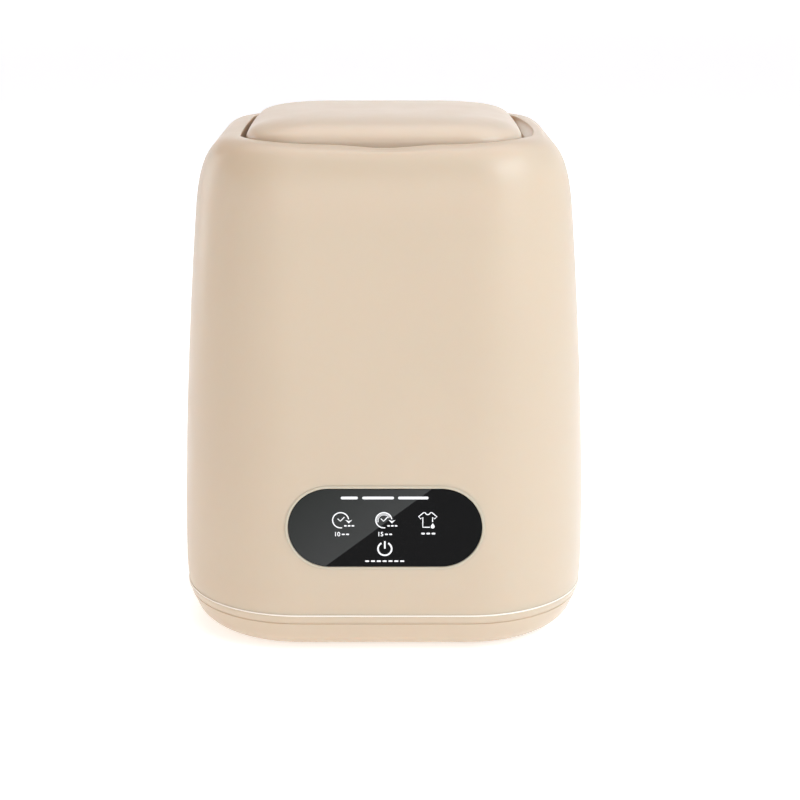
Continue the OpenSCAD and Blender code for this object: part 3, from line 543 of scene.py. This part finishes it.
def casing_shell():
    """The casing: outer wall, rim, recess, ledge and inner wall, as one closed skin."""
    wall_steps, shoulder_steps, edge_steps = 40, 36, 4
    bottom = SEAM_Z + 0.02
    levels = [bottom + (BOTTOM_H - bottom) * i / 10 for i in range(11)]
    levels += [BOTTOM_H + (SHOULDER_Z - BOTTOM_H) * i / wall_steps for i in range(1, wall_steps + 1)]
    levels += [SHOULDER_Z + (RIM_Z - SHOULDER_Z) * math.sin(i / shoulder_steps * math.pi / 2)
               for i in range(1, shoulder_steps + 1)]
    rings = [square_ring(casing_half(z), CORE, z) for z in levels]
    quarter = [i / edge_steps * math.pi / 2 for i in range(1, edge_steps + 1)]
    rings += [square_ring(OPENING_HALF + EDGE_R * (1 - math.sin(a)), CORE,
                          RIM_Z - EDGE_R * (1 - math.cos(a)))
              for a in quarter]
    rings += [square_ring(OPENING_HALF, CORE, RIM_Z - EDGE_R - (RIM_Z - LEDGE_Z - 2) * i / 8)
              for i in range(1, 9)]
    rings += [square_ring(OPENING_HALF - LEDGE_FILLET * (1 - math.cos(a)), CORE,
                          LEDGE_Z + LEDGE_FILLET * (1 - math.sin(a)))
              for a in quarter]
    rings.append(round_ring(THROAT_R + THROAT_EDGE, LEDGE_Z))
    rings.append(round_ring(THROAT_R, LEDGE_Z - THROAT_EDGE))
    rings.append(round_ring(THROAT_R, LEDGE_Z - LEDGE_T))
    rings.append(square_ring(LEDGE_HALF, CORE, LEDGE_Z - LEDGE_T))
    rings.append(square_ring(LEDGE_HALF, CORE, LEDGE_Z))
    rings.append(square_ring(OPENING_HALF + WALL, CORE, LEDGE_Z))
    rings.append(square_ring(OPENING_HALF + WALL, CORE, RIM_Z - 7))
    for z in (RIM_Z - 10, 295, SHOULDER_Z, 180, 100, BOTTOM_H, bottom):
        inner = max(casing_half(z) - WALL - 0.3, OPENING_HALF + WALL + 1)
        rings.append(square_ring(inner, CORE, z))
    bm = bmesh.new()
    loft(bm, [[rim_relief(p) for p in ring] for ring in rings], loop=True)
    shell = finish_mesh(bm, "casing_shell", CASING, "casing")
    cut(shell, pill_bm(PANEL_W + 0.5, PANEL_H + 0.5, -LENS_T - 0.1, 6),
        cylinder_bm(POCKET_R, POCKET_Y, BEHIND, "Y", (VALVE_X, OUTLET_Z), 96),
        cylinder_bm(JACK_R, JACK_FLOOR - 1, BEHIND, "Y", (JACK_X, JACK_Z), 96))
    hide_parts("outer_shell")
    rear_cup("drain_pocket", VALVE_X, OUTLET_Z, POCKET_R, POCKET_Y, SPOUT_HOLE_R)
    rear_cup("inlet_recess", JACK_X, JACK_Z, JACK_R, JACK_FLOOR, JACK_HOLE_R)


def rear_cup(name, x, z, radius, floor_y, hole_r):
    """Cup moulded in the rear wall: a cylinder wall and a floor with a hole in it."""
    outer_y = casing_half(z) - 0.6
    profile = [(radius, outer_y), (radius, floor_y + 0.8), (radius - 0.8, floor_y),
               (hole_r + 0.4, floor_y), (hole_r, floor_y - 0.4), (hole_r, floor_y - WALL),
               (radius + WALL, floor_y - WALL), (radius + WALL, outer_y - 2),
               (radius + 0.5, outer_y - 0.3)]
    circle = circle_points(96)
    rings = [[Vector((x + r * c, y, z + r * s)) for c, s in circle] for r, y in profile]
    bm = bmesh.new()
    loft(bm, rings, loop=True)
    cup = finish_mesh(bm, name, CASING, "casing", 35)


def flat_rings(half, z, order):
    """Square rings that grow or shrink over a flat face, in eighths of its half-width."""
    return [square_ring(half * i / 8, CORE * i / 8, z) for i in order]


def base_pan():
    """The base pan with its groove, rounded foot, proud edge at the seam and locating lip."""
    rings = flat_rings(BODY_HALF - BOTTOM_W, PAN_Z, range(1, 9))
    levels = [BOTTOM_H - (BOTTOM_H - PAN_Z) * math.sin(math.radians(a)) ** (2 / BOTTOM_EXP)
              for a in range(87, 42, -3)]
    levels = [z for z in levels if z < GROOVE_Z - 1.2] + [GROOVE_Z - 1.0, GROOVE_Z - 0.45]
    rings += [square_ring(casing_half(z), CORE, z) for z in levels]
    groove_floor = casing_half(GROOVE_Z) - GROOVE_D
    rings.append(square_ring(groove_floor, CORE, GROOVE_Z - 0.12))
    rings.append(square_ring(groove_floor, CORE, GROOVE_Z + 0.12))
    for z in (GROOVE_Z + 0.45, GROOVE_Z + 1.0, 23.5, 24.5, 25.5, SEAM_Z - 1.4, SEAM_Z - 0.85):
        rings.append(square_ring(casing_half(z) + SEAM_BEAD * fade_in(z, 22.5, 3.5), CORE, z))
    rings.append(square_ring(casing_half(SEAM_Z) + 0.02, CORE, SEAM_Z + 0.05))
    lip = casing_half(SEAM_Z) - WALL - 0.8
    rings.append(square_ring(lip, CORE, SEAM_Z))
    rings.append(square_ring(lip, CORE, LIP_Z))
    rings.append(square_ring(lip - LIP_T, CORE, LIP_Z))
    for z in (25, 15, 8):
        rings.append(square_ring(casing_half(z - WALL) - WALL - 0.3, CORE, z))
    rings += flat_rings(PAN_FLOOR_HALF, PAN_FLOOR_Z, range(8, 0, -1))
    bm = bmesh.new()
    loft(bm, rings, cap_first=True, cap_last=True)
    pan = finish_mesh(bm, "base_pan_skin", CASING, "casing")
    corners = [(sx, sy) for sx in (-1, 1) for sy in (-1, 1)]
    holes = [cylinder_bm(SCREW_HOLE_R, -2, 7, "Z", (sx * SCREW_X, sy * SCREW_Y), 48)
             for sx, sy in corners]
    holes += [cylinder_bm(FOOT_R, -2, FOOT_DEPTH, "Z", (sx * FOOT_XY, sy * FOOT_XY), 64)
              for sx, sy in corners]
    cut(pan, *holes)
    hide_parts("base_pan")


def seam_highlight_bead():
    """Pale bead that runs round the seam between the casing and the base pan; its pale colour is a painted
    highlight along the seam.
    """
    edge = casing_half(SEAM_Z) + SEAM_BEAD * 0.35
    rings = [square_ring(edge + BEAD_R * c, CORE, SEAM_Z - 0.15 + BEAD_R * s) for c, s in circle_points(12)]
    bm = bmesh.new()
    loft(bm, rings, loop=True)
    bead = finish_mesh(bm, "seam_highlight_bead", SEAM_HIGHLIGHT, "casing", 60)


def lid_height(half):
    """Height of the lid's domed top at a half-width."""
    return LID_SIDE_TOP + (LID_TOP - LID_SIDE_TOP) * (1 - (half / LID_HALF) ** 4.4) ** (1 / 2.4)


def lid_shell():
    """The lid cap: a pillow-like dome with a skirt, notched at the rear for its hinges."""
    core_share = CORE / LID_HALF
    skirt_z = LID_BOTTOM + 0.5
    dome_steps = 40
    rings = [square_ring(LID_HALF - LID_WALL, CORE, LID_BOTTOM + 2.55)]
    rings.append(square_ring(LID_HALF - LID_WALL, CORE, LID_BOTTOM + 0.3))
    rings.append(square_ring(LID_HALF - LID_WALL + 0.3, CORE, LID_BOTTOM))
    rings.append(square_ring(LID_HALF - 0.5, CORE, LID_BOTTOM))
    for i in range(7):
        rings.append(square_ring(LID_HALF, CORE, skirt_z + (LID_SIDE_TOP - skirt_z) * i / 6))
    for i in range(1, dome_steps):
        half = LID_HALF * math.cos(i / dome_steps * math.pi / 2) ** 0.9
        rings.append(square_ring(half, half * core_share, lid_height(half)))
    bm = bmesh.new()
    loft(bm, [[bowed(p) for p in ring] for ring in rings], cap_first=True, cap_last=True)
    lid = finish_mesh(bm, "lid_skin", LID_PAINTED_PALER, "lid")
    cut(lid, *[box_bm((s * HINGE_X - NOTCH_HALF, NOTCH_Y, LID_BOTTOM - 5),
                      (s * HINGE_X + NOTCH_HALF, 100, LID_TOP + 5))
               for s in (-1, 1)])
    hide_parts("lid_cap")


def lid_lugs():
    """Two hinge lugs whose rounded barrels turn on the pins."""
    for side, label in ((-1, "left"), (1, "right")):
        profile = []
        for i in range(25):
            a = -math.pi / 2 + math.pi * i / 24
            profile.append((HINGE_Y + BARREL_R * math.cos(a), HINGE_Z + BARREL_R * math.sin(a)))
        root_y = NOTCH_Y - 0.8
        profile += [(root_y, HINGE_Z + BARREL_R), (root_y, HINGE_Z - BARREL_R)]
        rings = [[Vector((side * HINGE_X + x, y, z)) for y, z in profile]
                 for x in (-LUG_HALF, LUG_HALF)]
        bm = bmesh.new()
        loft(bm, rings, cap_first=True, cap_last=True)
        lug = finish_mesh(bm, f"lid_lug_{label}", LID_PAINTED_PALER, "lid")


def return_spring():
    """The drain plunger's return spring, built as a helix of one fixed length; the real spring shortens as
    the plunger comes down.
    """
    steps = 144
    free_length = SPRING_HIGH - SPRING_LOW
    up = Vector((0, 0, 1))
    wire = circle_points(12)
    rings = []
    for i in range(steps + 1):
        a = SPRING_TURNS * 2 * math.pi * i / steps
        away = Vector((math.cos(a), math.sin(a), 0))
        height = SPRING_LOW + WIRE_R + (free_length - 2 * WIRE_R) * i / steps
        middle = Vector((VALVE_X, VALVE_Y, height)) + SPRING_R * away
        rings.append([middle + WIRE_R * (c * away + s * up) for c, s in wire])
    bm = bmesh.new()
    loft(bm, rings, cap_first=True, cap_last=True)
    spring = finish_mesh(bm, "return_spring", ZINC, "casing", 60)
    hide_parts("drain_spring")
    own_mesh(spring)


def on_panel(x, y, out):
    """Point in the panel's own frame, in millimetres: right, up and outwards."""
    turn = Matrix.Rotation(math.pi / 2 - PANEL_TILT, 3, "X")
    return turn @ Vector((x, y, out)) + Vector((0, -PANEL_Y, PANEL_Z))


def pill_outline(w, h, steps=40):
    """Outline of a bar with round ends."""
    r = h / 2
    flat = w / 2 - r
    points = [(flat + r * math.cos(a), r * math.sin(a))
              for a in (-math.pi / 2 + math.pi * i / steps for i in range(steps + 1))]
    return points + [(-x, -y) for x, y in points]


def pill_ring(w, h, out):
    """Ring of points round the touch panel, at a distance out from its face."""
    return [on_panel(x + PANEL_X, y, out) for x, y in pill_outline(w, h)]


def pill_bm(w, h, low, high):
    """Closed pill between two distances out from the panel's face."""
    bm = bmesh.new()
    loft(bm, [pill_ring(w, h, out) for out in (low, high)], cap_first=True, cap_last=True)
    return bm


def panel_lens():
    """The touch panel's glass: a pill with a polished edge."""
    w, h = PANEL_W - LENS_PLAY, PANEL_H - LENS_PLAY
    profile = [(0, -LENS_T), (0, -LENS_EDGE_R)]
    profile += [(LENS_EDGE_R * (1 - math.cos(a)), -LENS_EDGE_R * (1 - math.sin(a)))
                for a in (math.pi / 2 * i / 6 for i in range(1, 7))]
    bm = bmesh.new()
    loft(bm, [pill_ring(w - 2 * inset, h - 2 * inset, out) for inset, out in profile],
         cap_first=True, cap_last=True)
    lens = finish_mesh(bm, "panel_glass", LENS, "casing", 30)
    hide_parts("panel_lens")


def panel_rim():
    """Thin raised rim of the casing round the glass."""
    w, h = PANEL_W - LENS_PLAY, PANEL_H - LENS_PLAY
    profile = [(0.12, -0.8), (0.16, -0.05), (0.75, 0.34), (1.1, 0.36), (1.9, 0.0), (2.1, -0.9)]
    bm = bmesh.new()
    loft(bm, [pill_ring(w + 2 * outset, h + 2 * outset, out) for outset, out in profile], loop=True)
    rim = finish_mesh(bm, "panel_rim", CASING, "casing", 50)


# -------------------------------------------------------------- panel marks

# Thickness of the print, and the dashes that stand for words: each row's height above the panel's
# middle, its dashes' height, and each dash's place and length
INK_T = 0.06
HEADING_Y, HEADING_H, HEADING_DASHES = 19.4, 1.7, ((-21.2, 10.4), (-3.6, 19.4), (17.9, 18.6))
CAPTION_Y, CAPTION_H, CAPTION_DASHES = -21.4, 1.0, tuple((-10.4 + 3.6 * i, 2.6) for i in range(7))
DIGIT_Y, DIGIT_SIZE = -4.0, 3.9


def stroke(bm, points, width):
    """Flat printed line of even width through points on the panel."""
    rows = []
    for i, point in enumerate(points):
        before = points[max(i - 1, 0)]
        after = points[min(i + 1, len(points) - 1)]
        way = (Vector(after) - Vector(before)).normalized()
        side = Vector((-way.y, way.x)) * width / 2
        here = Vector(point)
        rows.append((here + side, here - side))
    low = [[bm.verts.new(on_panel(p.x, p.y, 0.0)) for p in row] for row in rows]
    high = [[bm.verts.new(on_panel(p.x, p.y, INK_T)) for p in row] for row in rows]
    for i in range(len(points) - 1):
        j = i + 1
        bm.faces.new((high[i][0], high[i][1], high[j][1], high[j][0]))
        bm.faces.new((low[i][1], low[i][0], low[j][0], low[j][1]))
        bm.faces.new((low[i][0], high[i][0], high[j][0], low[j][0]))
        bm.faces.new((high[i][1], low[i][1], low[j][1], high[j][1]))
    bm.faces.new((low[0][0], low[0][1], high[0][1], high[0][0]))
    bm.faces.new((low[-1][1], low[-1][0], high[-1][0], high[-1][1]))


def arc(cx, cy, r, first, last, steps=40):
    """Points along an arc between two angles in degrees."""
    angles = [math.radians(first + (last - first) * i / steps) for i in range(steps + 1)]
    return [(cx + r * math.cos(a), cy + r * math.sin(a)) for a in angles]


def filled(bm, outline):
    """Flat printed patch inside an outline."""
    loft(bm, [[on_panel(x, y, out) for x, y in outline] for out in (0.0, INK_T)],
         cap_first=True, cap_last=True)


def dash(bm, x, y, w, h):
    """Printed bar with round ends, centred on a point."""
    filled(bm, [(x + px, y + py) for px, py in pill_outline(w, h, 8)])


def mark(name, draw):
    """Makes a printed piece from a function that draws it into a bmesh."""
    bm = bmesh.new()
    draw(bm)
    piece = finish_mesh(bm, name, INK, "casing")


def clock_mark(cx, cy, rings):
    """Clock face with a tick, inner rings, an arrow head and dashes for its caption."""
    def draw(bm):
        stroke(bm, arc(cx, cy, 4.9, -80, -352), 0.68)
        for r in rings:
            stroke(bm, arc(cx, cy, r, 200, 25), 0.32)
        arrow = [(2.9, 0.2), (5.0, -2.0), (7.1, 0.2), (5.0, -0.5)]
        filled(bm, [(cx + x, cy + y) for x, y in arrow])
        stroke(bm, [(cx - 1.8, cy + 1.0), (cx - 0.2, cy - 0.6), (cx + 2.3, cy + 2.0)], 0.6)
        for i in range(3):
            dash(bm, cx + 2.9 + 2.3 * i, cy - 3.6, 1.7, 0.9)
        for i in range(2):
            dash(bm, cx + 1.6 + 2.6 * i, cy - 9.1, 1.9, 0.9)
    return draw


def shirt_mark(cx, cy):
    """Dripping shirt with dashes for its caption."""
    def draw(bm):
        right = [(1.6, 4.6), (2.6, 4.6), (5.6, 2.0), (4.3, 0.6), (3.0, 1.6), (3.0, -1.4)]
        left = [(-x, y) for x, y in reversed(right)]
        neck = [(1.44 * math.cos(a), 4.6 - 1.3 * math.sin(a))
                for a in (math.pi * (1 - i / 8) for i in range(1, 8))]
        hem = [(1.4, -4.8), (-3.0, -4.8)]
        outline = hem + left + neck + right
        stroke(bm, [(cx + x, cy + y) for x, y in outline], 0.6)
        drop = [(cx + 3.1, cy - 2.2)] + arc(cx + 3.1, cy - 4.4, 1.2, 30, -210, 16)
        filled(bm, drop)
        for i in range(3):
            dash(bm, cx - 2.8 + 3.2 * i, cy - 8.9, 2.3, 1.1)
    return draw


def power_mark(cx, cy):
    """Power symbol: an open ring with a bar at its top."""
    def draw(bm):
        stroke(bm, arc(cx, cy, 4.2, 120, 420), 1.0)
        stroke(bm, [(cx, cy + 5.0), (cx, cy + 0.2)], 1.0)
    return draw


def dash_row(y, h, dashes):
    """Row of dashes of one height, each with its place and length."""
    def draw(bm):
        for x, w in dashes:
            dash(bm, x, y, w, h)
    return draw


def digits_mark(name, digits, x):
    """Programme minutes as printed digits."""
    curve = bpy.data.curves.new(name, "FONT")
    curve.body = digits
    curve.size = DIGIT_SIZE
    curve.align_x = "CENTER"
    curve.align_y = "CENTER"
    curve.extrude = INK_T / 2
    curve.offset = 0.06
    curve.resolution_u = 4
    source = bpy.data.objects.new(name, curve)
    bpy.context.collection.objects.link(source)
    bpy.context.view_layer.update()
    seen = source.evaluated_get(bpy.context.evaluated_depsgraph_get())
    mesh = bpy.data.meshes.new_from_object(seen)
    bpy.data.objects.remove(source)
    for v in mesh.vertices:
        v.co = on_panel(x + v.co.x, DIGIT_Y + v.co.y, v.co.z + INK_T / 2) * MM
    piece = place(mesh, name, INK, "casing")


def panel_marks():
    mark("heading_marks", dash_row(HEADING_Y, HEADING_H, HEADING_DASHES))
    mark("caption_marks", dash_row(CAPTION_Y, CAPTION_H, CAPTION_DASHES))
    mark("ten_minute_mark", clock_mark(-26.6, 5.1, ()))
    mark("fifteen_minute_mark", clock_mark(-0.1, 5.1, (4.1, 3.4)))
    mark("spin_mark", shirt_mark(26.8, 5.4))
    mark("power_mark", power_mark(0.5, -13.4))
    digits_mark("ten_digits", "10", -28.8)
    digits_mark("fifteen_digits", "15", -2.2)


# ------------------------------------------------------------ floor and light

# Floor: radius of its flat part, radius of the cove round it, height of the wall, and its glow
FLOOR_R, COVE_R, WALL_TOP = 12, 2, 4.2
FLOOR_GLOW = 0.44


def pale_floor():
    """A wide pale floor that curves up all round; its faint glow keeps it white."""
    cove = [math.pi / 2 * i / 10 for i in range(1, 11)]
    profile = [(r, 0.0) for r in (0.5, 1, 2, 4, 8, FLOOR_R)]
    profile += [(FLOOR_R + COVE_R * math.sin(a), COVE_R - COVE_R * math.cos(a)) for a in cove]
    profile.append((FLOOR_R + COVE_R, WALL_TOP))
    rings = [[Vector((r * c, r * s, z)) for c, s in circle_points(96)] for r, z in profile]
    bm = bmesh.new()
    loft(bm, rings, cap_first=True)
    bmesh.ops.recalc_face_normals(bm, faces=bm.faces)
    mesh = bpy.data.meshes.new("floor")
    bm.to_mesh(mesh)
    bm.free()
    for face in mesh.polygons:
        face.use_smooth = True
    floor = bpy.data.objects.new("floor", mesh)
    bpy.context.collection.objects.link(floor)
    paper = moulded_plastic("paper", (0.96, 0.965, 0.97), rough=(0.8, 0.9), shade=0.004,
                            grain=200, bump=0.02)
    shader = paper.node_tree.nodes["Principled BSDF"]
    shader.inputs["Emission Color"].default_value = (1, 1, 1, 1)
    shader.inputs["Emission Strength"].default_value = FLOOR_GLOW
    mesh.materials.append(paper)


def soft_sky():
    """Studio surroundings: warm on the left, cool on the right, a little dimmer towards the top."""
    world = bpy.data.worlds.new("studio")
    bpy.context.scene.world = world
    world.use_nodes = True
    nodes, links = world.node_tree.nodes, world.node_tree.links
    coords = add(nodes, "ShaderNodeTexCoord")
    split = add(nodes, "ShaderNodeSeparateXYZ")
    links.new(coords.outputs["Generated"], split.inputs["Vector"])
    across = remap(nodes, links, split.outputs["X"], -1, 1)
    sky = ramp(nodes, links, across, (0.78, 0.53, 0.37), (0.87, 1.0, 1.16), 0.1, 0.75)
    upward = add(nodes, "ShaderNodeMapRange")
    upward.inputs["To Min"].default_value = 0.76
    upward.inputs["To Max"].default_value = 0.50
    links.new(split.outputs["Z"], upward.inputs["Value"])
    links.new(sky, nodes["Background"].inputs["Color"])
    links.new(upward.outputs["Result"], nodes["Background"].inputs["Strength"])


def area(name, spot, target, size, power, colour=(1, 1, 1)):
    """Rectangular area light at a spot, turned towards a target."""
    light = bpy.data.lights.new(name, "AREA")
    light.shape = "RECTANGLE"
    light.size, light.size_y = size
    light.energy = power
    light.color = colour
    lamp = bpy.data.objects.new(name, light)
    lamp.location = spot
    lamp.rotation_euler = (Vector(target) - Vector(spot)).to_track_quat("-Z", "Y").to_euler()
    bpy.context.collection.objects.link(lamp)


def soft_lights():
    area("overhead", (0.2, 0.15, 1.8), (0, 0, 0.25), (2.4, 1.8), 18.5)
    area("right_front", (1.6, -1.4, 0.9), (0, 0, 0.2), (1.0, 1.4), 6, (0.84, 0.97, 1.12))
    area("soft_spot", (0.85, -0.6, 1.05), (0.08, -0.1, 0.28), (0.8, 0.45), 6, (0.9, 1, 1.1))
    area("front_fill", (-0.3, -2.2, 1.0), (0, 0, 0.25), (1.8, 0.8), 6.5, (1, 0.97, 0.93))
    area("left_rim", (-1.5, 0.9, 0.5), (0, 0, 0.15), (0.5, 1.2), 3, (0.96, 0.98, 1.0))


dress_cad_nodes()
casing_shell()
base_pan()
seam_highlight_bead()
lid_shell()
lid_lugs()
return_spring()
panel_lens()
panel_rim()
panel_marks()
pale_floor()
soft_sky()
soft_lights()
